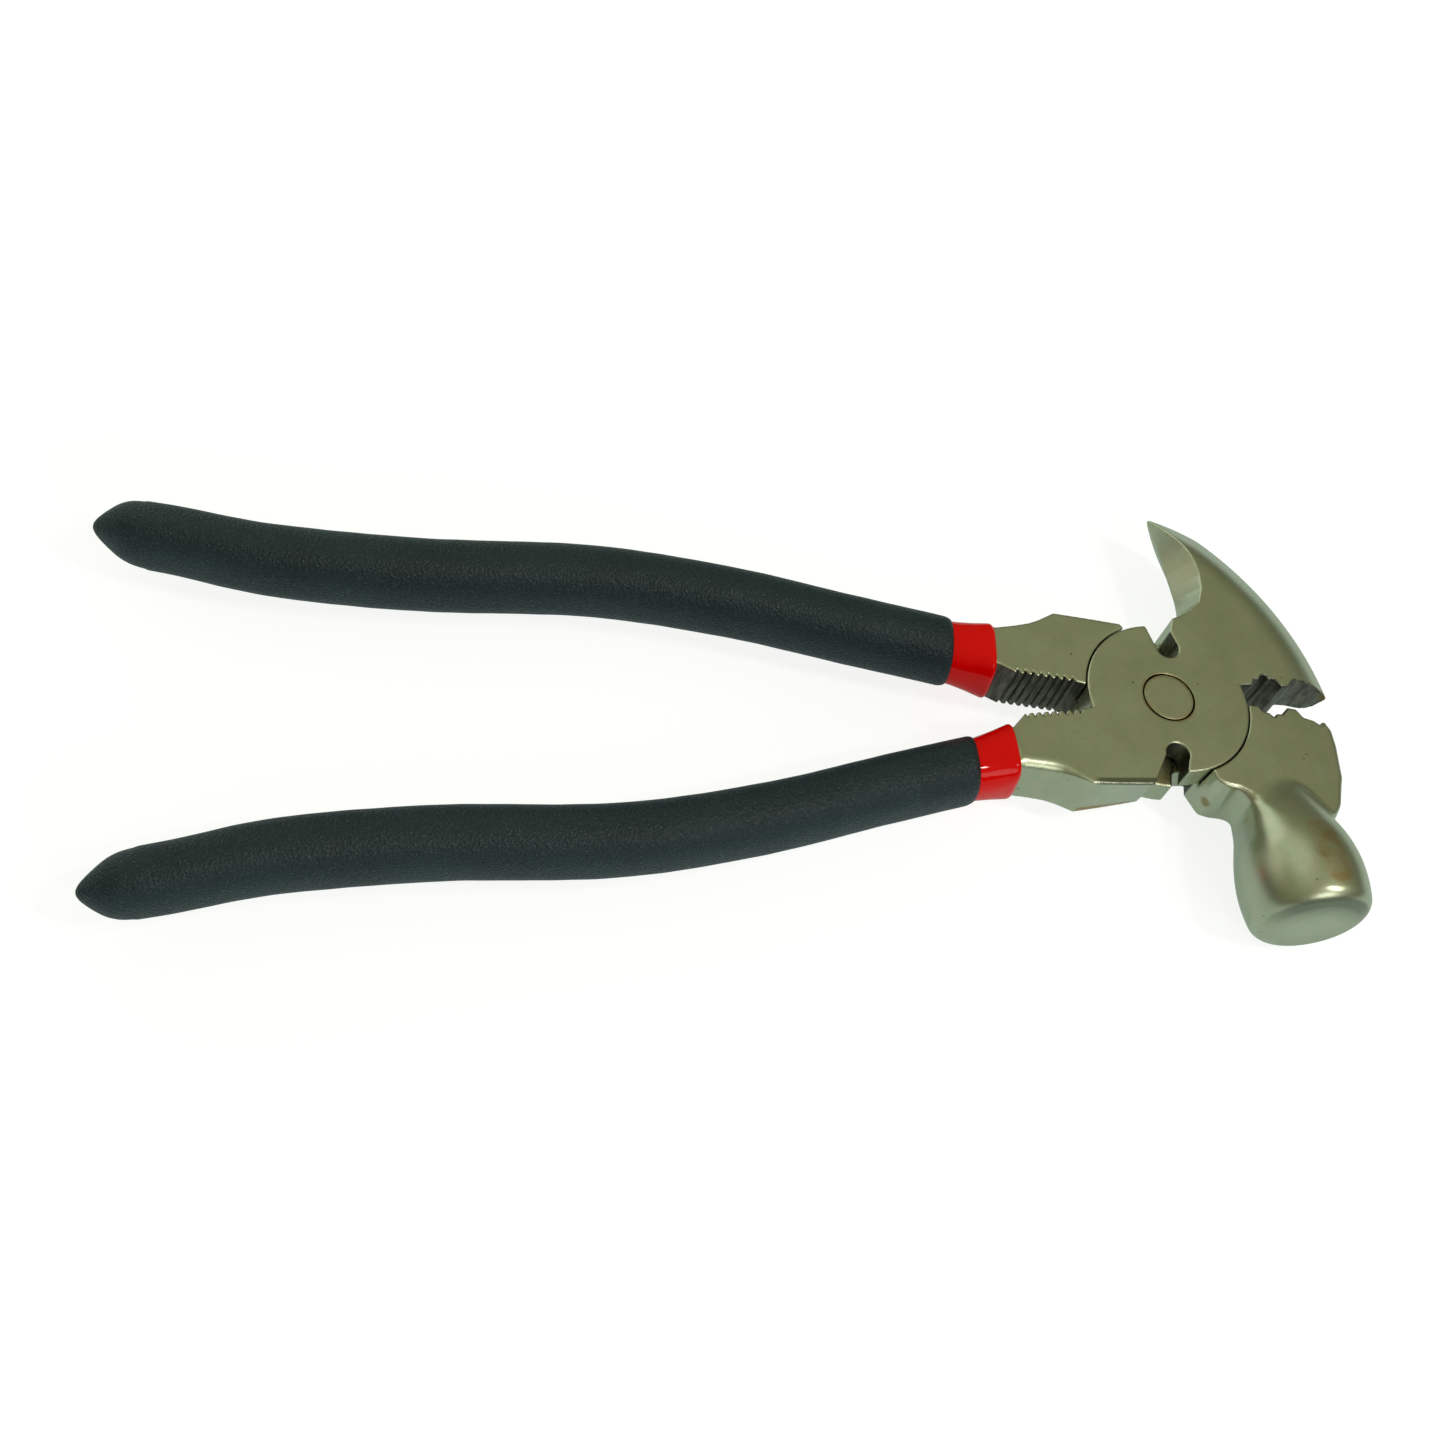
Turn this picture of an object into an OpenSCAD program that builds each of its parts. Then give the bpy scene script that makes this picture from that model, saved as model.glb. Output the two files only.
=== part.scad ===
// Fencing pliers: two crossed forged halves on one pivot rivet, with a staple
// spike and a hammer head beyond the jaws, and twice-dipped handles.
// Millimetres. Origin: pivot axis on the rear face of the joint.
// +X runs towards the jaws, +Y towards the spike, +Z out of the front face.

/* [Joint] */
// Radius of the lapped disc of each half
joint_r = 18.8; // [18.2:0.1:19]
// Thickness of the head at the joint
joint_t = 13; // [12:0.5:14]
// Radial gap between a disc and the shoulder that wraps it
shoulder_gap = 0.3; // [0.2:0.05:0.5]
// Gap between the two lapped faces
lap_gap = 0.08; // [0.04:0.02:0.2]

/* [Rivet] */
// Radius of the rivet shank
shank_r = 4.5; // [4:0.25:5]
// Radius of the flush rivet heads
rivet_head_r = 5.9; // [5.5:0.1:6.3]
// Depth of the flush rivet heads
rivet_head_t = 2.5; // [2:0.25:3]
// Running clearance of the rivet in the hammer half
rivet_play = 0.04; // [0.02:0.01:0.09]

/* [Jaws] */
// Angle between the two jaw lines at rest
jaw_angle = 10.5; // [10:0.5:11]
// Thickness of the jaws at their tips
jaw_tip_t = 9; // [8:0.5:11]

/* [Spike] */
// Height of the spike tip above the pivot
spike_y = 53; // [51:0.5:54]
// Radius of the ridge on the back of the spike and the upper jaw
ridge_r = 68.2; // [67:0.2:69]
// Width of each bevel that falls from a face to that ridge
ridge_bevel = 8.5; // [6:0.5:9]
// Width of each bevel on the inner side of the spike
spike_bevel = 5.2; // [4:0.2:6]

/* [Hammer] */
// Distance of the hammer axis from the pivot
hammer_x = 22.9; // [22:0.1:24]
// Distance of the striking face below the pivot
hammer_y = 52.8; // [51:0.2:56]
// Largest radius of the hammer barrel
hammer_r = 13.65; // [12.5:0.05:14.5]
// Radius of the flat of the striking face
strike_r = 11.4; // [10:0.1:12]

/* [Handles] */
// Distance of the grip tips behind the pivot
handle_reach = 226.5; // [215:1:235]
// Distance of each grip tip from the centre line
handle_spread = 41.3; // [38:0.1:44]
// Width of a grip across the tool
grip_w = 13.6; // [12.5:0.1:15]
// Thickness of a grip through the tool
grip_t = 16.4; // [15:0.1:17.5]

/* [Dips] */
// Thickness of the red under-dip
red_wall = 1.1; // [0.8:0.1:1.1]
// Length of red left showing in front of the black grip
red_show = 9.6; // [6:0.2:12]

/* [Hidden] */
half_t = joint_t / 2;
shoulder_r = joint_r + shoulder_gap;
ridge_centre = [-25, -2.5];
barrel_arc_r = 33;
barrel_widest_y = 43.5;
barrel_start_y = 23;
neck_end_x = -37.6;
dip_start_x = -37.8;
grip_start_x = dip_start_x - red_show;
tang_end_x = -handle_reach + 10;
red_end_x = tang_end_x - 1.2;
steel_colour = [0.62, 0.62, 0.55];
red_colour = [0.85, 0.03, 0.02];
black_colour = [0.07, 0.09, 0.1];

// ---- helpers ----

function arc(centre, r, from, to, steps) =
    [for (i = [0:steps]) let (a = from + (to - from) * i / steps) centre + r * [cos(a), sin(a)]];

// Catmull-Rom value through the knots at t, counted in knots
function knot(k, i) = k[max(0, min(len(k) - 1, i))];
function spline(k, t) =
    let (i = min(len(k) - 2, floor(t)), u = t - i,
        a = knot(k, i - 1), b = knot(k, i), c = knot(k, i + 1), d = knot(k, i + 2))
    b + 0.5 * u * (c - a + u * (2 * a - 5 * b + 4 * c - d + u * (3 * (b - c) + d - a)));

// A closed ring in the plane of constant x: a rounded oblong round the handle's middle
function signed_power(v, p) = sign(v) * pow(abs(v), p);
ring_sides = 20;
function ring(x, half_w, half_h, squareness) =
    [for (i = [0:ring_sides - 1]) let (a = 360 * (i + 0.5) / ring_sides)
        [x, handle_y(x) + half_w * signed_power(cos(a), 2 / squareness),
            half_h * signed_power(sin(a), 2 / squareness)]];

// A solid through a list of rings, closed by flat ends
module loft(rings) {
    n = len(rings[0]);
    last = len(rings) - 1;
    polyhedron(
        points = [for (r = rings) for (p = r) p],
        faces = concat(
            [[for (j = [n - 1:-1:0]) j]],
            [for (i = [0:last - 1]) for (j = [0:n - 1])
                [i * n + j, i * n + (j + 1) % n, (i + 1) * n + (j + 1) % n, (i + 1) * n + j]],
            [[for (j = [0:n - 1]) last * n + j]]));
}

// The hammer half is laid out as the spike half turned over about the X axis
module turned_over() rotate([180, 0, 0]) children();

// ---- handles ----

// Middle of the handle of the spike half, from the neck to the grip tip
handle_knots = [[neck_end_x + 20, -7.8], [neck_end_x, -12.6], [-66, -19.5], [-95, -26.7], [-125, -31.2],
    [-160, -31.6], [-190, -34.1], [-211, -38.6], [-handle_reach, -handle_spread]];
knot_count = len(handle_knots);
// The spline's x is monotonic, so a few halvings find the t of any x
function knot_at(x, low = 0, high = knot_count - 1, turns = 22) =
    turns == 0 ? (low + high) / 2 :
    let (mid = (low + high) / 2)
    spline(handle_knots, mid)[0] > x ? knot_at(x, mid, high, turns - 1) : knot_at(x, low, mid, turns - 1);
function handle_y(x) = spline(handle_knots, knot_at(x))[1];

tang_w = 9.9;
tang_t = 12.4;
// The tang thins from the neck to its end
function tang_scale(x) = 1 - 0.15 * min(1, (neck_end_x - x) / 25);
// Boxy at the neck, rounder where the grip covers it
function tang_squareness(x) = 2.4 + 2.6 * max(0, 1 - max(0, neck_end_x - x) / 6);
handle_steps = 22;
function handle_xs(from, to) = [for (i = [0:handle_steps]) from + (to - from) * i / handle_steps];
// Stations crowd together where the tang changes from boxy to round
boxy_end_x = neck_end_x - 8;
boxy_steps = 4;
function tang_xs(from, to) = concat(
    [for (i = [0:boxy_steps]) from + (boxy_end_x - from) * i / boxy_steps],
    [for (i = [1:handle_steps]) boxy_end_x + (to - boxy_end_x) * i / handle_steps]);

module tang(grow = 0, from = neck_end_x + 3, to = tang_end_x) {
    loft([for (x = tang_xs(from, to))
        let (half_w = tang_w / 2 * tang_scale(x), half_h = tang_t / 2 * tang_scale(x))
        ring(x, half_w + grow, half_h + grow, tang_squareness(x))]);
}

// Fraction of the full grip section at a distance from its lip and from its tip
lip = [[0, 0.88], [0.5, 0.95], [1.4, 0.99], [3, 1]];
tip = [[9, 1], [6.5, 0.92], [5, 0.82], [3.8, 0.66], [2.6, 0.47], [1.1, 0.25], [0, 0.08]];
// The grips narrow gently towards their tips
grip_squareness = 2.3;
grip_taper = 0.1;
grip_taper_x = -165;
grip_taper_length = 55;
function grip_scale(x) = 1 - grip_taper * pow(max(0, grip_taper_x - x) / grip_taper_length, 2);
function grip_ring(x, part) =
    let (scale = grip_scale(x) * part)
    ring(x, grip_w / 2 * scale, grip_t / 2 * scale, grip_squareness);

module grip_body() {
    loft(concat(
        [for (s = lip) grip_ring(grip_start_x - s[0], s[1])],
        [for (x = handle_xs(grip_start_x - 8, -handle_reach + 14)) grip_ring(x, 1)],
        [for (s = tip) grip_ring(-handle_reach + s[0], s[1])]));
}

module red_dip() difference() {
    tang(grow = red_wall, from = dip_start_x, to = red_end_x);
    tang();
}

module black_grip() difference() {
    grip_body();
    tang(grow = red_wall, from = dip_start_x, to = red_end_x);
}

// ---- head outlines, seen from the front of the spike half ----

serration_pitch = 1.5;
serration_depth = 0.8;
serration_count = 10;
serration_start = [-21.6, -3.5];
serration_slope = 0.13;
function serration(i, depth) =
    let (run = serration_pitch * i)
    serration_start + [-run, -serration_slope * run - depth];

// Neck: from the disc along the serrated edge, round the tang and back along the outer edge
module neck_outline() polygon(concat(
    [[-8, -2.6], [-18.6, -3]],
    [for (i = [0:serration_count - 1]) each
        [serration(i, 0), serration(i + 0.3, serration_depth), serration(i + 0.6, 0)]],
    [[neck_end_x + 0.6, -6.2], [neck_end_x, -7.3], [neck_end_x, -17.6]],
    arc([-33, -33], 15.2, 97, 62, 5),
    [[-22.6, -21.2], [-6.2, -20.8], [-3, -16], [-3, -8]]));

// A wire cutter: a round root that widens outwards between two straight walls
module cutter_notch(root, root_r, left, right) {
    translate(root) circle(r = root_r, $fn = 48);
    polygon([root + [-root_r, 0], left, right, root + [root_r, 0]]);
}

module upper_notch() {
    cutter_notch([3, 13.1], 2.7, [-1.5, 20.6], [4.7, 17.4]);
    polygon([[3, 13.1], [-1.5, 20.6], [-1.5, 26], [8.1, 26], [4.7, 17.4]]);
}

module lower_notch() cutter_notch([-1.4, -14.3], 2.7, [-9.4, -23], [-1.6, -23]);

// Biting edge with the jaws shut: the jaw line is the X axis
upper_bite = [[17, 1.75], [22, 1.75], [22.6, 3], [24.1, 3.1], [25, 4.1], [25.9, 4.1], [26.3, 3.05],
    [27.8, 3], [29, 1], [31.1, 1], [32.8, 2.5], [33.7, 2.75], [36, 2.4], [43.5, -0.3]];
lower_bite = [[17, 0.3], [21.4, 0.35], [22.4, -0.9], [23.9, -1.2], [24.9, -2.1], [25.9, -1.1],
    [27.1, -1.1], [28.8, 0.85], [30.9, 0.8], [32.5, -1.1], [35.1, -1.2], [36.6, -1.9], [38, -0.85]];
function turn(p, a) = [p[0] * cos(a) - p[1] * sin(a), p[0] * sin(a) + p[1] * cos(a)];
function opened(points, a) = [for (p = points) turn(p, a)];

ridge_jaw_angle = 6.3;
spike_root = [11.7, 26];
spike_tip = [10.4, spike_y];
module spike_jaw_outline() polygon(concat(
    [[3, 3]],
    opened(upper_bite, jaw_angle / 2),
    arc(ridge_centre, ridge_r, ridge_jaw_angle, 46, 12),
    [spike_tip + [5.7, -2.5], spike_tip, spike_root, [8.6, 22.1], [4, 20.1], [3, 16]]));

module hammer_jaw_outline() polygon(concat(
    [[3, -3]],
    opened(lower_bite, -jaw_angle / 2),
    [[38.7, -7], [38.6, -11], [37.6, -19], [35.2, -25.5], [32.3, -30.8], [30, -36], [16, -36]],
    [[13.6, -31], [13.4, -27.6]],
    arc([9.2, -27.4], 4.2, 20, 90, 4),
    [[7.2, -22.3], [5.6, -21], [5.2, -19], [4.6, -14.4]]));

// ---- head solids ----

// The outline at full thickness, cleared for the other half's disc, with its own disc in front
module lapped() {
    difference() {
        union() {
            translate([0, 0, -half_t]) linear_extrude(joint_t) children(0);
            translate([0, 0, lap_gap / 2]) cylinder(h = half_t - lap_gap / 2, r = joint_r, $fn = 120);
        }
        translate([0, 0, -half_t - 1]) cylinder(h = half_t + 1 + lap_gap / 2, r = shoulder_r, $fn = 120);
    }
}

// Wedges that thin the jaws from the joint to their tips
taper_reach = 40;
taper_lead = 10;
taper_top_y = 60;
taper_length = 90;
module jaw_taper() {
    thin = (joint_t - jaw_tip_t) / 2;
    start_x = joint_r + 1;
    slope = thin / (ridge_centre[0] + ridge_r - start_x);
    for (side = [0, 1]) mirror([0, 0, side]) translate([start_x, taper_top_y, 0]) rotate([90, 0, 0])
        linear_extrude(taper_length)
            polygon([[-taper_lead, half_t + taper_lead * slope], [taper_reach, half_t - taper_reach * slope],
                [taper_reach, joint_t], [-taper_lead, joint_t]]);
}

// Double cone whose rim is the ridge on the back of the spike
ridge_land = 0.6;
module ridge_cone() {
    top = half_t + 2;
    top_r = ridge_r - ridge_bevel * (top - ridge_land) / (half_t - ridge_land);
    translate(ridge_centre) rotate_extrude($fn = 240)
        polygon([[0, -top], [top_r, -top], [ridge_r, -ridge_land], [ridge_r, ridge_land],
            [top_r, top], [0, top]]);
}

// Two bevels that meet in a sharp edge at mid thickness: the edge starts at a point, runs that many
// degrees round from +Y, and has the metal on its right
bevel_margin = 4;
module edge_bevels(start, heading, width, length) {
    slope = half_t / width;
    for (side = [0, 1]) mirror([0, 0, side]) translate([start[0], start[1], 0])
        rotate([0, 0, heading]) rotate([-90, 0, 0])
            linear_extrude(length)
                polygon([[-bevel_margin, bevel_margin * slope], [width + 1, -half_t - slope],
                    [width + 1, -joint_t], [-bevel_margin, -joint_t]]);
}

module spike_inner_bevels() {
    lean = atan2(spike_root[0] - spike_tip[0], spike_tip[1] - spike_root[1]);
    edge_bevels(spike_root + [0.3, -3], lean, spike_bevel, 40);
}

// Near its tip the back of the spike runs straight, inside the ridge's circle
spike_shoulder = [22.4, 46.6];
module spike_tip_bevels() {
    run = spike_shoulder - spike_tip;
    edge_bevels(spike_tip - run / 4, atan2(-run[0], run[1]), ridge_bevel, norm(run) * 1.3);
}

module pivot_bore(play) {
    translate([0, 0, -half_t - 1]) cylinder(h = joint_t + 2, r = shank_r + play, $fn = 64);
    translate([0, 0, half_t - rivet_head_t - play])
        cylinder(h = rivet_head_t + 1, r = rivet_head_r + play, $fn = 64);
}

module spike_head() {
    difference() {
        intersection() {
            lapped() union() {
                neck_outline();
                spike_jaw_outline();
            }
            ridge_cone();
        }
        translate([0, 0, -half_t - 1]) linear_extrude(joint_t + 2) {
            upper_notch();
            lower_notch();
        }
        jaw_taper();
        spike_inner_bevels();
        spike_tip_bevels();
        pivot_bore(0);
    }
}

// The hammer's side is one arc from inside the jaw to its rim, then a bevel to the striking face
rim_length = 1.6;
rim_step = [0.5, 0.4];
module barrel() {
    start = asin((barrel_widest_y - barrel_start_y) / barrel_arc_r);
    end = asin((hammer_y - rim_length - barrel_widest_y) / barrel_arc_r);
    translate([hammer_x, 0, 0]) rotate([-90, 0, 0]) mirror([0, 0, 1]) rotate_extrude($fn = 120)
        polygon(concat([[0, barrel_start_y]],
            arc([hammer_r - barrel_arc_r, barrel_widest_y], barrel_arc_r, -start, end, 12),
            [[strike_r + rim_step[0], hammer_y - rim_step[1]], [strike_r, hammer_y], [0, hammer_y]]));
}

module hammer_head() {
    difference() {
        union() {
            difference() {
                turned_over() lapped() {
                    union() {
                        neck_outline();
                        mirror([0, 1, 0]) hammer_jaw_outline();
                    }
                }
                jaw_taper();
            }
            barrel();
        }
        turned_over() translate([0, 0, -half_t - 1]) linear_extrude(joint_t + 2) {
            upper_notch();
            lower_notch();
        }
        turned_over() pivot_bore(rivet_play);
    }
}

// ---- sub-parts ----

module spike_half() color(steel_colour) translate([0, 0, half_t]) {
    spike_head();
    tang();
}

module hammer_half() color(steel_colour) translate([0, 0, half_t]) {
    hammer_head();
    turned_over() tang();
}

module pivot_rivet() color(steel_colour) {
    cylinder(h = joint_t, r = shank_r, $fn = 64);
    cylinder(h = rivet_head_t, r = rivet_head_r, $fn = 64);
    translate([0, 0, joint_t - rivet_head_t]) cylinder(h = rivet_head_t, r = rivet_head_r, $fn = 64);
}

module spike_half_red_dip() color(red_colour) translate([0, 0, half_t]) red_dip();
module hammer_half_red_dip() color(red_colour) translate([0, 0, half_t]) turned_over() red_dip();
module spike_half_grip() color(black_colour) translate([0, 0, half_t]) black_grip();
module hammer_half_grip() color(black_colour) translate([0, 0, half_t]) turned_over() black_grip();

spike_half();
hammer_half();
pivot_rivet();
spike_half_red_dip();
hammer_half_red_dip();
spike_half_grip();
hammer_half_grip();
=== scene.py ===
"""Looks of the fencing pliers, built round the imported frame.

The two forged halves are meshed from distance fields, so that edges, fillets, grinds and the
blend of the hammer into its jaw are real shape. The dips and grips are swept sleeves. Shapes are
worked out in millimetres about the pivot at the middle of the thickness, and each finished mesh
is moved into the frame in metres.
"""

import math

import bpy
import numpy as np
from mathutils import Matrix, Vector


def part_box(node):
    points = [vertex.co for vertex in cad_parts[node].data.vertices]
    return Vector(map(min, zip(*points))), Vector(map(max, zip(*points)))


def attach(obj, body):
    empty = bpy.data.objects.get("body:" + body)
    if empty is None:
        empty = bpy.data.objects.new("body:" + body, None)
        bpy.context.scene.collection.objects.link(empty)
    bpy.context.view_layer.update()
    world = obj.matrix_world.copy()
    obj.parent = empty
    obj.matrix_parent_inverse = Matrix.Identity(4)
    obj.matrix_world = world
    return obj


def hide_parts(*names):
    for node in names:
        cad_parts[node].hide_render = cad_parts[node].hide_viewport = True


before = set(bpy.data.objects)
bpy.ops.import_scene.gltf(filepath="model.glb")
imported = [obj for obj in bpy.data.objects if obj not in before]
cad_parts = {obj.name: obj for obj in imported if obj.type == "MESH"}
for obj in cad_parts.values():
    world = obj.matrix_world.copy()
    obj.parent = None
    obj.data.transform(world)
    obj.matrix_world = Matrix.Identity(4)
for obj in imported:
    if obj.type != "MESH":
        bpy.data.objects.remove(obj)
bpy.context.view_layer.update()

MM = 0.001
RIVET_LOW, RIVET_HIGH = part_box("pivot_rivet")
HALF_T = (RIVET_HIGH.z - RIVET_LOW.z) / 2 / MM
MIDDLE = Vector((0, 0, (RIVET_HIGH.z + RIVET_LOW.z) / 2))

# Joint: each half's disc, the other half's shoulder round it, and the rivet
DISC_R = 18.8
SHOULDER_R = 19.1
LAP = 0.04  # from the middle plane to each lapped face
SHANK_R = 4.5
RIVET_HEAD_R = 5.9
RIVET_HEAD_T = 2.5
PLAY = 0.04
HEAD_PLAY = 0.05

# Jaws and spike
JAW_TIP_T = 9
JAW_ANGLE = 10.5  # between the jaws at rest, in degrees
RIDGE_CENTRE = (-25, -2.5)
RIDGE_R = 68.2
RIDGE_BEVEL = 8.5  # how far the bevel beside the ridge reaches in at the faces
RIDGE_LAND = 0.6
SPIKE_TIP = (10.4, 53.0)
SPIKE_ROOT = (11.7, 26.1)
SPIKE_EDGE_BOW = 0.2
FACET_START_Y = 20.5
FACET_LEAN = 1.5

# Hammer
HAMMER_X = 22.9
FACE_Y = 52.8
FACE_CROWN = 0.0035
RIM_R = 13.0
RIM_Y = 50.3
BARREL_R = 13.65
BARREL_ARC_R = 33  # of the barrel's side towards its face
BARREL_JAW_ARC_R = 28  # of the barrel's side towards the jaw
BARREL_WIDEST_Y = 43.5
BARREL_START_Y = 22

# Neck, between the joint and the handle
NECK_CORNER_X = -22.6
NECK_DRAFT = 0.22
NECK_SCOOP = 2.6
SHOULDER_DRAFT = 0.12

# Handles: places along X, and sections as (width, depth)
NECK_END = -37.6
RED_LIP = -37.2
BLACK_LIP = -46.7
GRIP_TIP = -226.5
TANG_END = -216.5
RED_END = -217.7
TANG_SIZE = (10.2, 12.4)
GRIP_SIZE = (13.6, 16.4)
GRIP_TIP_LENGTH = 11
RED_WALL = 1.1
DIP_OVERLAP = 0.05

# Rounding of edges, as the width over which two surfaces run into each other
EDGE_ROUNDING = 0.5
DISC_ROUNDING = 0.45
LAP_ROUNDING = 0.3
RIDGE_ROUNDING = 2.4
FACET_ROUNDING = 0.2
CUT_ROUNDING = 0.35
BORE_ROUNDING = 0.25
RIM_ROUNDING = 0.7
FACE_ROUNDING = 1.3
TANG_BLEND = 0.3


# ---- distance fields ----

def smooth_max(a, b, width):
    """The larger of two fields, rounded where they differ by less than width."""
    near = np.maximum(width - np.abs(a - b), 0) / width
    return np.maximum(a, b) + near * near * width / 4


def smooth_min(a, b, width):
    """The smaller of two fields, rounded in the same way."""
    return -smooth_max(-a, -b, width)


def ease(value, start, end):
    """0 before start, 1 after end, and an eased step between them."""
    t = np.clip((value - start) / (end - start), 0, 1)
    return t * t * (3 - 2 * t)


def arc(centre, radius, start, end, steps):
    """Points along an arc, with its ends in degrees."""
    angles = np.radians(np.linspace(start, end, steps + 1))
    return [(centre[0] + radius * math.cos(a), centre[1] + radius * math.sin(a)) for a in angles]


def turned(points, degrees):
    """The points turned about the pivot."""
    c, s = math.cos(math.radians(degrees)), math.sin(math.radians(degrees))
    return [(x * c - y * s, x * s + y * c) for x, y in points]


def line_distance(points, x, y):
    """Distance to an open line of straight pieces."""
    nearest = np.full(np.broadcast(x, y).shape, np.inf)
    for (ax, ay), (bx, by) in zip(points, points[1:]):
        ex, ey = bx - ax, by - ay
        t = np.clip(((x - ax) * ex + (y - ay) * ey) / (ex * ex + ey * ey), 0, 1)
        nearest = np.minimum(nearest, (x - ax - t * ex) ** 2 + (y - ay - t * ey) ** 2)
    return np.sqrt(nearest)


def polygon(points, x, y):
    """Signed distance to a closed outline, negative inside."""
    inside = np.zeros(np.broadcast(x, y).shape, bool)
    for (ax, ay), (bx, by) in zip(points, points[1:] + points[:1]):
        if ay != by:
            straddles = (ay > y) != (by > y)
            inside ^= straddles & (x < ax + (bx - ax) * (y - ay) / (by - ay))
    return np.where(inside, -1, 1) * line_distance(points + points[:1], x, y)


CELL_CORNERS = [(i, j, k) for i in (0, 1) for j in (0, 1) for k in (0, 1)]


def mixed_cells(inside):
    """Which grid cells have corners on both sides of the surface."""
    nx, ny, nz = inside.shape
    filled = np.zeros((nx - 1, ny - 1, nz - 1), np.int8)
    for i, j, k in CELL_CORNERS:
        filled += inside[i:nx - 1 + i, j:ny - 1 + j, k:nz - 1 + k]
    return (filled > 0) & (filled < len(CELL_CORNERS))


def net_vertices(field, cells, grid):
    """One vertex for each cell, at the mean of the points where its edges cross the surface."""
    total = np.zeros((len(cells), 3))
    crossings = np.zeros(len(cells))
    for low in CELL_CORNERS:
        for axis in range(3):
            if low[axis]:
                continue
            a = cells + low
            b = a.copy()
            b[:, axis] += 1
            fa, fb = field[tuple(a.T)], field[tuple(b.T)]
            cross = (fa < 0) != (fb < 0)
            t = fa[cross] / (fa[cross] - fb[cross])
            for d in range(3):
                start = grid[d][a[cross, d]]
                total[cross, d] += start + t * (grid[d][b[cross, d]] - start)
            crossings[cross] += 1
    return total / crossings[:, None]


def net_quads(inside, number):
    """An outward quad round each grid edge that crosses the surface, from the numbers of its cells."""
    quads = []
    for axis in range(3):
        u, v = (axis + 1) % 3, (axis + 2) % 3
        low = [slice(None)] * 3
        high = [slice(None)] * 3
        low[axis], high[axis] = slice(0, -1), slice(1, None)
        starts_inside = inside[tuple(low)]
        edges = np.argwhere(starts_inside != inside[tuple(high)])
        outward = starts_inside[tuple(edges.T)]
        ring = []
        for du, dv in ((-1, -1), (0, -1), (0, 0), (-1, 0)):
            cell = edges.copy()
            cell[:, u] += du
            cell[:, v] += dv
            ring.append(number[tuple(cell.T)])
        ring = np.stack(ring, 1)
        quads.append(np.where(outward[:, None], ring, ring[:, ::-1]))
    return np.concatenate(quads)


def surface_net(field, xs, ys, zs):
    """Vertices and quads of the surface where a field that is negative inside passes zero."""
    inside = field < 0
    mixed = mixed_cells(inside)
    cells = np.argwhere(mixed)
    number = np.full(mixed.shape, -1, np.int32)
    number[mixed] = np.arange(len(cells))
    return net_vertices(field, cells, (xs, ys, zs)), net_quads(inside, number)


def levels(*stretches):
    """Grid coordinates from (start, end, step) stretches laid end to end."""
    parts = [np.linspace(a, b, max(2, round((b - a) / step) + 1))[:-1] for a, b, step in stretches]
    return np.concatenate(parts + [[stretches[-1][1]]])


# ---- handles ----

HANDLE_KNOTS = np.array([
    (-17.6, -7.8), (-37.6, -12.6), (-66, -19.5), (-95, -26.7), (-125, -31.2),
    (-160, -31.6), (-190, -34.1), (-211, -38.6), (-226.5, -41.3)])


def spline(knots, t):
    """Catmull-Rom values through the knots at t, counted in knots."""
    last = len(knots) - 1
    i = np.clip(np.floor(t).astype(int), 0, last - 1)
    u = (t - i)[:, None]
    a, b, c, d = (knots[np.clip(i + n, 0, last)] for n in (-1, 0, 1, 2))
    return b + 0.5 * u * (c - a + u * (2 * a - 5 * b + 4 * c - d + u * (3 * (b - c) + d - a)))


HANDLE_LINE = spline(HANDLE_KNOTS, np.linspace(0, len(HANDLE_KNOTS) - 1, 400))


def handle_y(x):
    """Middle of the spike half's handle, which runs on the hammer's side of the centre line."""
    return np.interp(-x, -HANDLE_LINE[:, 0], HANDLE_LINE[:, 1])


def tang_scale(x):
    """The tang thins by 15 % just behind the neck."""
    return 1 - 0.15 * np.clip((-41 - x) / 12, 0, 1)


# Superellipse powers of sections
OVAL = 2.4
BOXY = 5.0


def tang_power(x):
    """Power of the tang's section, from boxy at the neck to oval 6 mm on."""
    return OVAL + (BOXY - OVAL) * np.clip(1 - (NECK_END - x) / 6, 0, 1)


def tang_field(x, y, z):
    """The bar that runs down inside the handle, from the neck to near the grip's tip."""
    half_w = TANG_SIZE[0] / 2 * tang_scale(x)
    half_h = TANG_SIZE[1] / 2 * tang_scale(x)
    power = tang_power(x)
    spread = (np.abs(y - handle_y(x)) / half_w) ** power + (np.abs(z) / half_h) ** power
    bar = (spread ** (1 / power) - 1) * half_w
    inside_neck = 0.9
    return np.maximum(np.maximum(bar, x - NECK_END + inside_neck), TANG_END - x)


# ---- outlines, seen from the front of the spike half ----

SERRATION_PITCH = 1.76
SERRATION_DEPTH = 0.95
SERRATION_COUNT = 8
SERRATION_START = -21.2


def grip_line(start_y, slope):
    """The serrated inner edge of a neck, from the joint to inside the dip."""
    disc_end = (-18.6, start_y + 0.7)
    points = [disc_end]
    for i in range(SERRATION_COUNT):
        for share, depth in ((0, 0), (0.35, SERRATION_DEPTH), (0.6, 0)):
            run = SERRATION_PITCH * (i + share)
            points.append((SERRATION_START - run, start_y - slope * run - depth))
    return points + [(-38, -7.8), (-40, -8.6)]


def neck(inner_edge):
    """Outline of the part between the joint and the handle."""
    outer_edge = [(-40, -17.9), (-37, -17.5), (-32.6, -18.1), (-29, -18.8), (-26.5, -19.7),
                  (NECK_CORNER_X, -21.6), (-14.9, -21.1), (-6.4, -20.4)]
    return [(-8, -2.6)] + inner_edge + outer_edge + [(-3, -16), (-3, -8)]


SPIKE_GRIP_LINE = grip_line(-3.2, 0.09)
HAMMER_GRIP_LINE = grip_line(-3.7, 0.157)

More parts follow.
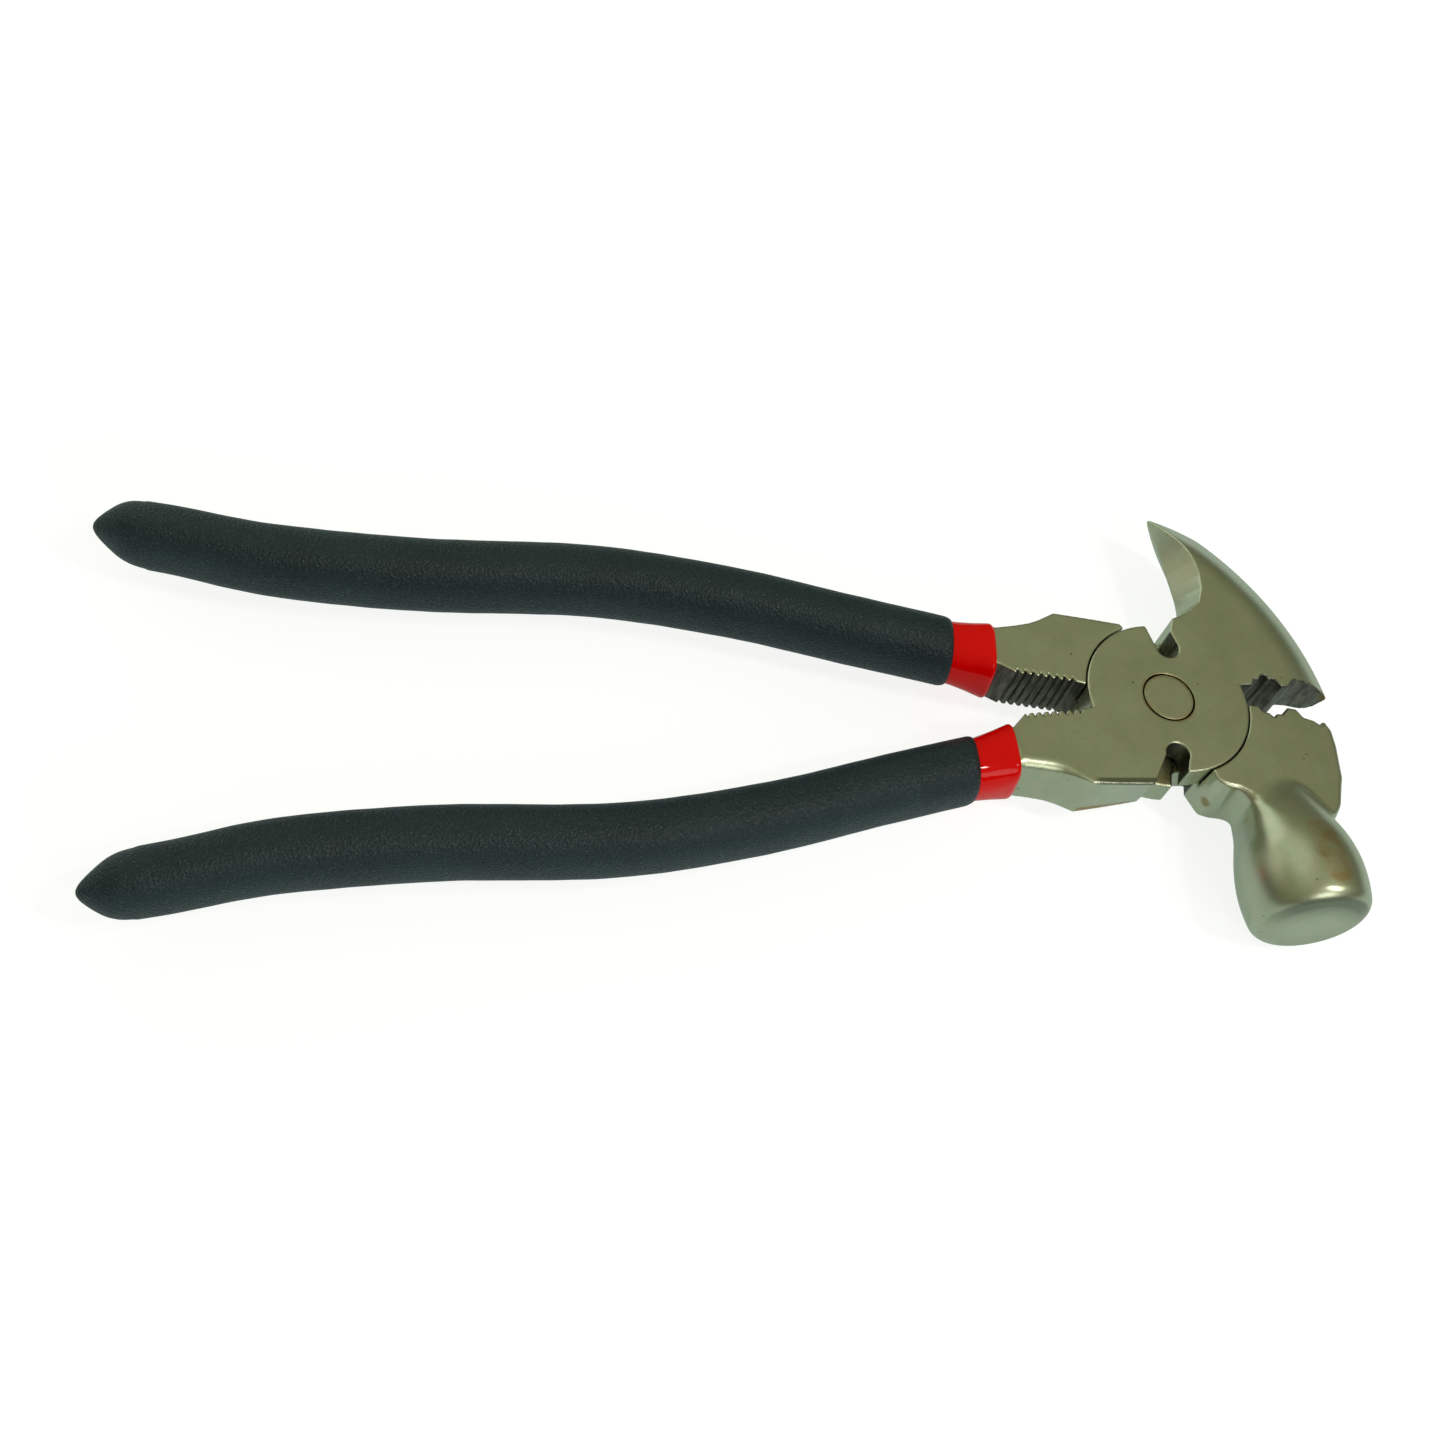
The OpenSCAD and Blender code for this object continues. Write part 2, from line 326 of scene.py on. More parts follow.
UPPER_BITE = [
    (17, 1.75), (22, 1.75), (22.6, 3), (24.1, 3.1), (25, 4.1), (25.9, 4.1), (26.3, 3.05),
    (27.8, 3), (29, 1), (31.1, 1), (32.8, 2.5), (33.7, 2.75), (36, 2.4), (43.5, -0.3)]
LOWER_BITE = [
    (17, 0.3), (21.4, 0.35), (22.4, -0.9), (23.9, -1.2), (24.9, -2.1), (25.9, -1.1),
    (27.1, -1.1), (28.8, 0.85), (30.9, 0.8), (32.5, -1.1), (35.1, -1.2), (36.6, -1.9), (38, -0.85)]

SPIKE_JAW = ([(3, 3)] + turned(UPPER_BITE, JAW_ANGLE / 2) + arc(RIDGE_CENTRE, RIDGE_R, 6.3, 46, 24)
             + [(18, 51.5), (10.3, 55), SPIKE_TIP, SPIKE_ROOT, (8.6, 22.1), (4, 20.1), (3, 16)])
HAMMER_JAW = ([(3, -3)] + turned(LOWER_BITE, -JAW_ANGLE / 2)
              + [(39, -7), (39, -11), (38, -19), (35.5, -25.5), (32.4, -30.8), (30, -36),
                 (16, -36), (13.6, -31), (13.4, -27.6)]
              + arc((9.2, -27.4), 4.2, 20, 90, 8)
              + [(7.2, -22.3), (5.6, -21), (5.2, -19), (4.6, -14.4)])

NOTCH_R = 2.7
UPPER_ROOT = (3, 13.1)
LOWER_ROOT = (-1.4, -14.3)
UPPER_NOTCH = [(0.3, 13.1), (-1.5, 20.6), (-1.5, 26), (8.1, 26), (4.7, 17.4), (5.7, 13.1)]
LOWER_NOTCH = [(-4.1, -14.3), (-9.4, -23), (-1.6, -23), (1.3, -14.3)]
LOWER_CUT_TOP = 15.2  # how near the pivot the lower cutter comes in the hammer half


def notches(x, y):
    """The two wire cutters, as one field that is negative in the cut."""
    upper_root = np.hypot(x - UPPER_ROOT[0], y - UPPER_ROOT[1]) - NOTCH_R
    lower_root = np.hypot(x - LOWER_ROOT[0], y - LOWER_ROOT[1]) - NOTCH_R
    upper = np.minimum(upper_root, polygon(UPPER_NOTCH, x, y))
    lower = np.minimum(lower_root, polygon(LOWER_NOTCH, x, y))
    return np.minimum(upper, lower)


def bore(radius, z, play):
    """The rivet's stepped hole, as a field that is negative in the hole."""
    head = np.maximum(radius - RIVET_HEAD_R - HEAD_PLAY - play, HALF_T - RIVET_HEAD_T - play - z)
    return np.minimum(radius - SHANK_R - play, head)


def jaw_half_thickness(x):
    """The jaws thin evenly from the joint to their tips."""
    start, end = DISC_R + 1, RIDGE_CENTRE[0] + RIDGE_R
    slope = (HALF_T - JAW_TIP_T / 2) / (end - start)
    bend = 12
    return HALF_T - slope * smooth_max(x - start, 0 * x, bend)


def neck_rounding(x, y, z):
    """Width of the rounding of the plate's edges, soft along the front of the neck's outer wall."""
    scoop = NECK_SCOOP * ease(x, NECK_CORNER_X, -31)
    return EDGE_ROUNDING + scoop * ease(y, -11, -14) * ease(z, -2, 2)


def neck_draft(x, y):
    """Lean of the neck's outer wall, growing towards the wire cutter."""
    growth = np.clip((x - NECK_CORNER_X) / 16, 0, 1)
    return NECK_DRAFT * growth * ease(x, 0, -4) * ease(y, -13, -16)


def lapped(outline, plate, rounding, radius, z):
    """The outline at full thickness, cleared for the other half's disc, with its own disc in front."""
    solid = smooth_max(outline, plate, rounding)
    disc = np.maximum(smooth_max(radius - DISC_R, plate, DISC_ROUNDING), LAP - z)
    clearance = np.maximum(radius - SHOULDER_R, z - LAP)
    return smooth_max(np.minimum(solid, disc), -clearance, LAP_ROUNDING)


FACET_RIDGE = [(-20, 20.9), (7, 20.9), (9.5, 22.2), (11.2, 23), (13.9, 25.4), (15.7, 29.3),
               (16.2, 33.2), (16, 37.3), (15.2, 42), (13.8, 48), (12, 56), (-20, 56)]


def to_spike_edge(x, y):
    """Distance to the spike's slightly bowed inner edge."""
    tip, root = np.array(SPIKE_TIP), np.array(SPIKE_ROOT)
    chord = tip - root
    length = np.hypot(*chord)
    inward = np.array((chord[1], -chord[0])) / length
    bow_r = length ** 2 / (8 * SPIKE_EDGE_BOW) + SPIKE_EDGE_BOW / 2
    centre = (tip + root) / 2 + (SPIKE_EDGE_BOW - bow_r) * inward
    to_edge = np.hypot(x - centre[0], y - centre[1]) - bow_r
    spoke = root - centre
    below = spoke[0] * (y - centre[1]) - spoke[1] * (x - centre[0]) < 0
    return np.where(below, np.hypot(x - root[0], y - root[1]), to_edge)


def spike_facet(x, y, z):
    """The D-shaped grind on each side of the spike's inner edge, sloping from its ridge to that edge."""
    to_edge = to_spike_edge(x, y)
    to_ridge = -polygon(FACET_RIDGE, x, y)
    narrowest, run_out = 0.3, 4
    share = to_edge / np.maximum(to_edge + to_ridge, narrowest)
    share = np.where(to_ridge < 0, 1 - to_ridge / run_out, share)
    height = HALF_T * np.clip(share, -1, 3)
    return np.where(y > FACET_START_Y, (np.abs(z) - height) / FACET_LEAN, -HALF_T)


def ridge_cone(x, y, z):
    """The double cone whose rim is the ridge on the back of the spike, steeper behind the jaw's tip."""
    crest_width, crest_drop = 0.35, 0.1
    tip_start, tip_span, tip_drop = 46, 11.5, 2.4
    rise = np.sqrt(z * z + crest_width) - crest_drop
    across, up = x - RIDGE_CENTRE[0], y - RIDGE_CENTRE[1]
    degrees = np.degrees(np.arctan2(up, across))
    towards_tip = np.clip((degrees - tip_start) / tip_span, 0, 1.5)
    ridge = RIDGE_R - tip_drop * towards_tip ** 1.25
    behind_jaw_tip = ease(z, 0, -1) * ease(degrees, 22, 10)
    bevel = RIDGE_BEVEL - 6 * behind_jaw_tip
    reach = ridge - bevel * (rise - RIDGE_LAND) / (HALF_T - RIDGE_LAND)
    lean = np.hypot(1, bevel / (HALF_T - RIDGE_LAND))
    return (np.hypot(across, up) - reach) / lean


def spike_half_field(x, y, z):
    """The whole spike half: it lies in front at the joint, and its rear face tapers less."""
    flat_x, flat_y = x[:, :, 0], y[:, :, 0]
    radius = np.hypot(x, y)
    neck_outline = polygon(neck(SPIKE_GRIP_LINE), flat_x, flat_y)
    outline = np.minimum(neck_outline, polygon(SPIKE_JAW, flat_x, flat_y))[:, :, None]
    outline = outline - z * neck_draft(flat_x, flat_y)[:, :, None]
    rear_share = 0.55
    thinned = (HALF_T - jaw_half_thickness(x)) * (1 - rear_share * ease(z, 1, -1))
    plate = smooth_max(np.abs(z) - HALF_T + thinned, ridge_cone(x, y, z), RIDGE_ROUNDING)
    head = lapped(outline, plate, neck_rounding(x, y, z), radius, z)
    head = smooth_max(head, spike_facet(x, y, z), FACET_ROUNDING)
    head = smooth_max(head, -notches(flat_x, flat_y)[:, :, None], CUT_ROUNDING)
    head = smooth_max(head, -bore(radius, z, 0), BORE_ROUNDING)
    return smooth_min(head, tang_field(x, y, z), TANG_BLEND)


def barrel_field(x, y, z):
    """The hammer: a barrel with a bevelled rim and a slightly crowned face."""
    radius = np.hypot(x - HAMMER_X, z)
    along = -y - BARREL_WIDEST_Y
    arc_r = np.where(along < 0, BARREL_JAW_ARC_R, BARREL_ARC_R)
    bulge = arc_r - np.sqrt(np.maximum(arc_r ** 2 - along ** 2, 1))
    side = radius - (BARREL_R - bulge)
    face = -y - FACE_Y + FACE_CROWN * radius ** 2
    diagonal = 0.707
    rim = (radius - RIM_R + (-y - RIM_Y)) * diagonal
    body = smooth_max(smooth_max(side, rim, RIM_ROUNDING), face, FACE_ROUNDING)
    return np.maximum(body, y + BARREL_START_Y)


def shoulder_rounding(x, y):
    """Extra rounding of the lower jaw's edges: its shoulder, its right edge and its run into the hammer."""
    shoulder = 3 * ease(y, -20, -26) * ease(x, 26, 14)
    right_edge = 1.2 * ease(x, 31, 37)
    into_hammer = 5 * ease(y, -26, -32)
    return shoulder + right_edge + into_hammer


def hammer_half_field(x, y, z):
    """The whole hammer half, whose neck and disc are the spike half's turned over about the X axis."""
    flat_x, flat_y = x[:, :, 0], y[:, :, 0]
    radius = np.hypot(x, y)
    neck_outline = polygon(neck(HAMMER_GRIP_LINE), flat_x, -flat_y)
    outline = np.minimum(neck_outline, polygon(HAMMER_JAW, flat_x, flat_y))[:, :, None]
    jaw_draft = SHOULDER_DRAFT * ease(flat_y, -13, -17) * ease(flat_x, 14, 10)
    outline = outline + z * (neck_draft(flat_x, -flat_y) + jaw_draft)[:, :, None]
    plate = np.abs(z) - jaw_half_thickness(x)
    rounding = neck_rounding(x, -y, -z) + shoulder_rounding(flat_x, flat_y)[:, :, None]
    head = lapped(outline, plate, rounding, radius, -z)
    fillet = 2 + 5 * ease(x, 33, 24) * ease(np.abs(z), 0, 9)
    head = smooth_min(head, barrel_field(x, y, z), fillet)
    below_disc = np.where(flat_y < 0, flat_y + LOWER_CUT_TOP, -HALF_T)
    cutters = np.maximum(notches(flat_x, -flat_y), below_disc)
    head = smooth_max(head, -cutters[:, :, None], CUT_ROUNDING)
    head = smooth_max(head, -bore(radius, -z, PLAY), BORE_ROUNDING)
    return smooth_min(head, tang_field(x, -y, z), TANG_BLEND)


# ---- meshes ----

def add_mesh(name, vertices, faces):
    """A smooth-shaded object from points in millimetres about the middle of the joint."""
    mesh = bpy.data.meshes.new(name)
    faces = np.asarray(faces, np.int32)
    sides = faces.shape[1]
    mesh.vertices.add(len(vertices))
    in_frame = np.asarray(vertices) * MM + np.array(MIDDLE)
    mesh.vertices.foreach_set("co", in_frame.astype(np.float32).ravel())
    mesh.loops.add(faces.size)
    mesh.loops.foreach_set("vertex_index", faces.ravel())
    mesh.polygons.add(len(faces))
    mesh.polygons.foreach_set("loop_start", np.arange(0, faces.size, sides, dtype=np.int32))
    mesh.update(calc_edges=True)
    mesh.validate()
    mesh.shade_smooth()
    piece = bpy.data.objects.new(name, mesh)
    bpy.context.scene.collection.objects.link(piece)
    return piece


def add_net(name, field, cut_edges, xs, ys, zs):
    """A mesh of the field, whose cut-wall attribute is 1 on the walls along the cut edges, where the steel
    is coloured dark: partly the cut steel's own tone and partly painted shade.
    """
    values = field(xs[:, None, None], ys[None, :, None], zs[None, None, :])
    vertices, quads = surface_net(values, xs, ys, zs)
    piece = add_mesh(name, vertices, quads)
    x, y, z = vertices.T
    on_edge = 1 - ease(cut_edges(x, y), 0.25, 0.6)
    between_faces = 1 - ease(np.abs(z), HALF_T - 0.45, HALF_T - 0.1)
    machined_and_shade = piece.data.attributes.new("machined_and_shade", "FLOAT", "POINT")
    machined_and_shade.data.foreach_set("value", (on_edge * between_faces).astype(np.float32))
    return piece


def notch_roots(x, y):
    """Distance to the walls of the wire cutters, near their roots only."""
    to_root = np.minimum(np.hypot(x - UPPER_ROOT[0], y - UPPER_ROOT[1]),
                         np.hypot(x - LOWER_ROOT[0], y - LOWER_ROOT[1]))
    past_root = 1.5
    return np.maximum(np.abs(notches(x, y)), to_root - NOTCH_R - past_root)


def spike_half_cuts(x, y):
    """Distance to the bite, the serrations and the wire cutters of the spike half."""
    bite = line_distance(turned(UPPER_BITE, JAW_ANGLE / 2), x, y)
    gripped = line_distance(SPIKE_GRIP_LINE, x, y)
    return np.minimum(np.minimum(bite, gripped), notch_roots(x, y))


def hammer_half_cuts(x, y):
    """Distance to the bite, the serrations and the wire cutters of the hammer half."""
    bite = line_distance(turned(LOWER_BITE, -JAW_ANGLE / 2), x, y)
    gripped = line_distance(HAMMER_GRIP_LINE, x, -y)
    return np.minimum(np.minimum(bite, gripped), notch_roots(x, -y))


# Grid steps: on the head, on the serrations and faces, through the walls, and on plainer stretches
STEP = 0.3
FINE_STEP = 0.2
WALL_STEP = 0.35
BARREL_STEP = 0.4
TANG_SIDE_STEP = 0.7
TANG_STEP = 1.5
MARGIN = 0.5
BARREL_MARGIN = 0.6
FACE_BAND = 1.2
OUTSIDE, SKIN = HALF_T + MARGIN, HALF_T - FACE_BAND
PLATE_STRETCHES = [(-OUTSIDE, -SKIN, FINE_STEP), (-SKIN, SKIN, WALL_STEP), (SKIN, OUTSIDE, FINE_STEP)]


def length_levels(jaw_end):
    """Levels along X: coarse on the tang inside the dips, and fine along the serrations."""
    return levels((TANG_END - 2, -42, TANG_STEP), (-42, -37, STEP), (-37, -21, FINE_STEP),
                  (-21, jaw_end, STEP))


def build_spike_half():
    """Steel of the spike half."""
    ys = levels((-45, -24, TANG_SIDE_STEP), (-24, -8, STEP), (-8, -2, FINE_STEP), (-2, 54.4, STEP))
    zs = levels(*PLATE_STRETCHES)
    return add_net("spike_half_steel", spike_half_field, spike_half_cuts, length_levels(44.2), ys, zs)


def build_hammer_half():
    """Steel of the hammer half, on a grid deep enough for the hammer."""
    ys = levels((-54.2, 2, STEP), (2, 8, FINE_STEP), (8, 24, STEP), (24, 45, TANG_SIDE_STEP))
    end = BARREL_R + BARREL_MARGIN
    zs = levels((-end, -OUTSIDE, BARREL_STEP), *PLATE_STRETCHES, (OUTSIDE, end, BARREL_STEP))
    return add_net("hammer_half_steel", hammer_half_field, hammer_half_cuts, length_levels(40.2), ys, zs)


def build_rivet():
    """A turned rivet: two flush heads with broken edges on a plain shank."""
    head_start = HALF_T - RIVET_HEAD_T
    half = [(2.5, HALF_T), (4.6, HALF_T - 0.01), (5.5, HALF_T - 0.03), (5.72, HALF_T - 0.1),
            (5.8, HALF_T - 0.25), (5.82, HALF_T - 0.8), (RIVET_HEAD_R, HALF_T - 0.9),
            (RIVET_HEAD_R, head_start + 0.1), (RIVET_HEAD_R - 0.1, head_start),
            (SHANK_R + 0.1, head_start), (SHANK_R, head_start - 0.1)]
    profile = half + [(r, -z) for r, z in reversed(half)]
    sides = 120
    angles = np.arange(sides) * 2 * math.pi / sides
    vertices = [(r * math.cos(a), r * math.sin(a), z) for r, z in profile for a in angles]
    faces = []
    for i in range(len(profile) - 1):
        for j in range(sides):
            after = (j + 1) % sides
            faces.append((i * sides + j, (i + 1) * sides + j, (i + 1) * sides + after, i * sides + after))
    top, bottom = len(vertices), len(vertices) + 1
    vertices += [(0, 0, HALF_T), (0, 0, -HALF_T)]
    last = (len(profile) - 1) * sides
    caps = []
    for j in range(0, sides, 2):
        caps.append((top, j, j + 1, (j + 2) % sides))
        caps.append((bottom, last + (j + 2) % sides, last + j + 1, last + j))
    return add_mesh("pivot_rivet_turned", vertices, faces + caps)


RING_SIDES = 112
RING_ANGLES = (np.arange(RING_SIDES) + 0.5) * 2 * math.pi / RING_SIDES


def section(x, half_w, half_h, power, lean=(0, 0)):
    """A closed ring round the handle's middle at x, its plane leaning back across and up by lean."""
    c, s = np.cos(RING_ANGLES), np.sin(RING_ANGLES)
    reach = ((np.abs(c) / half_w) ** power + (np.abs(s) / half_h) ** power) ** (-1 / power)
    dy, dz = reach * c, reach * s
    ring_x = x - lean[0] * dy - lean[1] * dz
    return np.stack([ring_x, handle_y(ring_x) + dy, dz], 1)


def tang_section(x, grow, lean=(0, 0), softness=0.0):
    """A ring round the tang, larger by grow, flared at the collar and more oval by softness."""
    scale = float(tang_scale(x))
    power = float(tang_power(x)) * (1 - softness) + OVAL * softness
    flare = 0.55 * float(ease(x, -54, -45))
    return section(x, TANG_SIZE[0] / 2 * scale + grow + flare, TANG_SIZE[1] / 2 * scale + grow, power, lean)


def loft_faces(rings, first, flip):
    """Quads between rings whose vertices start at first."""
    faces = []
    for i in range(rings - 1):
        for j in range(RING_SIDES):
            after = (j + 1) % RING_SIDES
            a, b = first + i * RING_SIDES, first + (i + 1) * RING_SIDES
            quad = (a + j, a + after, b + after, b + j)
            faces.append(quad[::-1] if flip else quad)
    return faces


def cap_faces(ring_start, centre, flip):
    """Quads that close a ring round its centre vertex."""
    faces = []
    for j in range(0, RING_SIDES, 2):
        quad = (centre, ring_start + j, ring_start + j + 1, ring_start + (j + 2) % RING_SIDES)
        faces.append(quad[::-1] if flip else quad)
    return faces


def sleeve(name, outer, inner, turned_over):
    """A closed-ended sleeve: rings from lip to tip outside, and from lip to end inside."""
    vertices = np.concatenate(outer + inner)
    tip, end = len(vertices), len(vertices) + 1
    inner_start = len(outer) * RING_SIDES
    vertices = np.concatenate([vertices, [outer[-1].mean(0)], [inner[-1].mean(0)]])
    faces = loft_faces(len(outer), 0, flip=True)
    faces += loft_faces(len(inner), inner_start, flip=False)
    for j in range(RING_SIDES):
        after = (j + 1) % RING_SIDES
        faces.append((j, after, inner_start + after, inner_start + j))
    faces += cap_faces(inner_start - RING_SIDES, tip, flip=True)
    faces += cap_faces(inner_start + (len(inner) - 1) * RING_SIDES, end, flip=False)
    if turned_over:
        vertices = vertices * np.array([1, -1, -1])
    return add_mesh(name, vertices, faces)


SPIKE_LIP_LEAN = (0, 0.13)
HAMMER_LIP_LEAN = (0.13, -0.1)


def lip_lean(x, lip, turned_over):
    """The dips' edges lean back towards the front face, and the lean dies out along the handle."""
    run = 6
    fade = math.exp((x - lip) / run)
    across, up = HAMMER_LIP_LEAN if turned_over else SPIKE_LIP_LEAN
    return across * fade, up * fade


def rolled(distance, radius):
    """Height of a quarter-round edge of this radius at a distance behind its lip."""
    d = min(distance, radius)
    return math.sqrt(radius ** 2 - (radius - d) ** 2) / radius


RED_ROLL = 1.3
RED_TIP = [(4, 0.99), (3, 0.96), (2, 0.88), (1.2, 0.77), (0.6, 0.62), (0.2, 0.42), (0, 0.2)]


def build_red_dip(name, turned_over):
    """The under-dip: a rolled lip with a slight bead, a plain run over the tang and a domed end."""
    lip_steps = [0, 0.04, 0.12, 0.25, 0.45, 0.7, 1.0, RED_ROLL]
    xs = [RED_LIP - d for d in lip_steps] + list(np.linspace(RED_LIP - 2, RED_END + 5, 60))
    outer = []
    for x in xs:
        bead = 0.18 * math.exp(-((RED_LIP - x - RED_ROLL) / 1.1) ** 2)
        grow = (RED_WALL + bead) * rolled(RED_LIP - x, RED_ROLL)
        outer.append(tang_section(x, grow, lip_lean(x, RED_LIP, turned_over), softness=0.45))
    for d, share in RED_TIP:
        scale = float(tang_scale(RED_END)) * share
        half_w = TANG_SIZE[0] / 2 * scale + RED_WALL * share
        half_h = TANG_SIZE[1] / 2 * scale + RED_WALL * share
        outer.append(section(RED_END + d, half_w, half_h, OVAL))
    bond = -0.12  # the dip's inside lies just within the tang, so that no gap shows at its lip
    inner = [tang_section(x, bond, lip_lean(x, RED_LIP, turned_over))
             for x in np.linspace(RED_LIP, TANG_END, 50)]
    return sleeve(name, outer, inner, turned_over)


def grip_scale(x):
    """The grips thin over their last 60 mm, by an eighth at their tips."""
    return 1 - 0.10 * (max(0, -x - 165) / 55) ** 2


BLACK_ROLL = 1.9
BLACK_POWER = 2.35
BLACK_TIP_POWER = 2.2

# Distance from the grip's end, and share of the full section there
TIP_PROFILE = np.array([
    (0, 0), (0.2, 0.12), (0.9, 0.28), (2.2, 0.47), (3.5, 0.63), (4.9, 0.78), (6.4, 0.89), (8.2, 0.965),
    (11, 1), (14, 1)])


def wander(x, angle, seed):
    """Slow unevenness of a hand-dipped skin, in millimetres."""
    height = 0.012
    total = 0
    for n, (length, turns) in enumerate(((31, 1), (17, 2), (11, 3), (7.3, 1))):
        phase = seed * 1.7 + n * 2.3
        total = total + np.sin(2 * math.pi * x / length + turns * angle + phase) * height
    return total


def make_uneven(ring, seed):
    """Pushes a ring's points in and out by the skin's unevenness, less where the ring is small."""
    reach = ring - ring.mean(0)
    size = np.hypot(reach[:, 1], reach[:, 2])
    push = wander(ring[:, 0], RING_ANGLES, seed) * np.minimum(size / 6, 1)
    ring[:, 1:] += reach[:, 1:] * (push / np.maximum(size, 0.01))[:, None]


def build_black_grip(name, turned_over, seed):
    """The over-dip: a rolled lip on the red dip, an oval grip and its chiselled tip."""
    lip_steps = [0, 0.05, 0.15, 0.3, 0.5, 0.8, 1.15, 1.5, 2.0]
    tip_start = GRIP_TIP + GRIP_TIP_LENGTH
    xs = [BLACK_LIP - d for d in lip_steps] + list(np.linspace(BLACK_LIP - 3, tip_start, 110))
    half_w, half_h = GRIP_SIZE[0] / 2, GRIP_SIZE[1] / 2
    outer = []
    for x in xs:
        lean = lip_lean(x, BLACK_LIP, turned_over)
        inside = tang_section(x, RED_WALL - DIP_OVERLAP, lean)
        full = section(x, half_w * grip_scale(x), half_h * grip_scale(x), BLACK_POWER, lean)
        outer.append(inside + (full - inside) * rolled(BLACK_LIP - x, BLACK_ROLL))
    steps = spline(TIP_PROFILE, np.linspace(len(TIP_PROFILE) - 2, 0.35, 26))
    for d, share in steps[1:]:
        x = GRIP_TIP + max(d, 0)
        size = grip_scale(x) * share
        outer.append(section(x, half_w * size, half_h * size, BLACK_TIP_POWER))
    for ring in outer:
        make_uneven(ring, seed)
    inner = [tang_section(x, RED_WALL - DIP_OVERLAP, lip_lean(x, BLACK_LIP, turned_over))
             for x in np.linspace(BLACK_LIP, RED_END + 3, 50)]
    return sleeve(name, outer, inner, turned_over)


# ---- materials ----

class Nodes:
    """A small helper that adds and joins shader nodes."""

    def __init__(self, tree):
        self.tree = tree
        tree.nodes.clear()

    def add(self, kind, inputs=None, **settings):
        """A node with its settings, and its inputs set to values or joined to other nodes."""
        node = self.tree.nodes.new(kind)
        for key, value in settings.items():
            setattr(node, key, value)
        for key, value in (inputs or {}).items():
            self.set(node.inputs[key], value)
        return node

    def set(self, socket, value):
        if isinstance(value, bpy.types.NodeSocket):
            self.tree.links.new(value, socket)
        else:
            socket.default_value = value

    def math(self, operation, a, b=0.0):
        return self.add("ShaderNodeMath", {0: a, 1: b}, operation=operation).outputs[0]

    def product(self, a, b):
        return self.math("MULTIPLY", a, b)

    def noise(self, vector, scale, detail=2.0, roughness=0.5):
        inputs = {"Vector": vector, "Scale": scale, "Detail": detail, "Roughness": roughness}
        return self.add("ShaderNodeTexNoise", inputs).outputs["Fac"]

    def ramp(self, value, low, high, out_low=0.0, out_high=1.0):
        """Value carried from low..high to out_low..out_high, and held beyond them."""
        inputs = {"Value": value, "From Min": low, "From Max": high, "To Min": out_low, "To Max": out_high}
        return self.add("ShaderNodeMapRange", inputs, clamp=True).outputs["Result"]

    def mix(self, share, a, b):
        node = self.add("ShaderNodeMix", data_type="RGBA")
        self.set(node.inputs["Factor"], share)
        self.set(node.inputs["A"], a)
        self.set(node.inputs["B"], b)
        return node.outputs["Result"]

    def stretch(self, vector, scale, turn=(0, 0, 0)):
        inputs = {"Vector": vector, "Scale": scale, "Rotation": turn}
        return self.add("ShaderNodeMapping", inputs).outputs["Vector"]

    def near(self, vector, centre, radius, soft):
        """1 within radius of a point given in millimetres about the joint's middle, fading over soft."""
        point = Vector(centre) * MM + MIDDLE
        node = self.add("ShaderNodeVectorMath", {0: vector, 1: point}, operation="DISTANCE")
        return self.ramp(node.outputs["Value"], (radius + soft) * MM, radius * MM)

    def parts(self, vector):
        """The X, Y and Z of a vector."""
        return list(self.add("ShaderNodeSeparateXYZ", {"Vector": vector}).outputs)


def rgb(red, green, blue):
    return (red, green, blue, 1)


def new_material(name):
    material = bpy.data.materials.new(name)
    material.use_nodes = True
    return material, Nodes(material.node_tree)


def plated_tone(n, place):
    """Nickel plate: cloudy, mottled, warmer in patches, and finely pitted."""
    cloudy = n.noise(place, 90, 3)
    mottle = n.noise(place, 700, 4, 0.7)
    warm = n.noise(place, 260, 3)
    pits = n.ramp(n.noise(place, 700, 0), 0.16, 0.13)
    tone = n.mix(n.ramp(cloudy, 0.35, 0.65), rgb(0.50, 0.52, 0.36), rgb(0.58, 0.60, 0.45))
    tone = n.mix(n.ramp(mottle, 0.45, 0.75, 0, 0.55), tone, rgb(0.44, 0.50, 0.36))
    tone = n.mix(n.ramp(warm, 0.4, 0.65, 0, 0.6), tone, rgb(0.60, 0.55, 0.42))
    return n.mix(n.product(pits, 0.6), tone, rgb(0.2, 0.17, 0.11))


def machined_and_shade_tone(n, place):
    """Dark steel on the cut walls, scraped along the thickness; the darkness is partly the cut steel's own
    and partly painted shade between the parts.
    """
    scraped = n.ramp(n.noise(n.stretch(place, (900, 900, 250)), 1, 3), 0.35, 0.65)
    return n.mix(scraped, rgb(0.085, 0.085, 0.07), rgb(0.2, 0.19, 0.155))


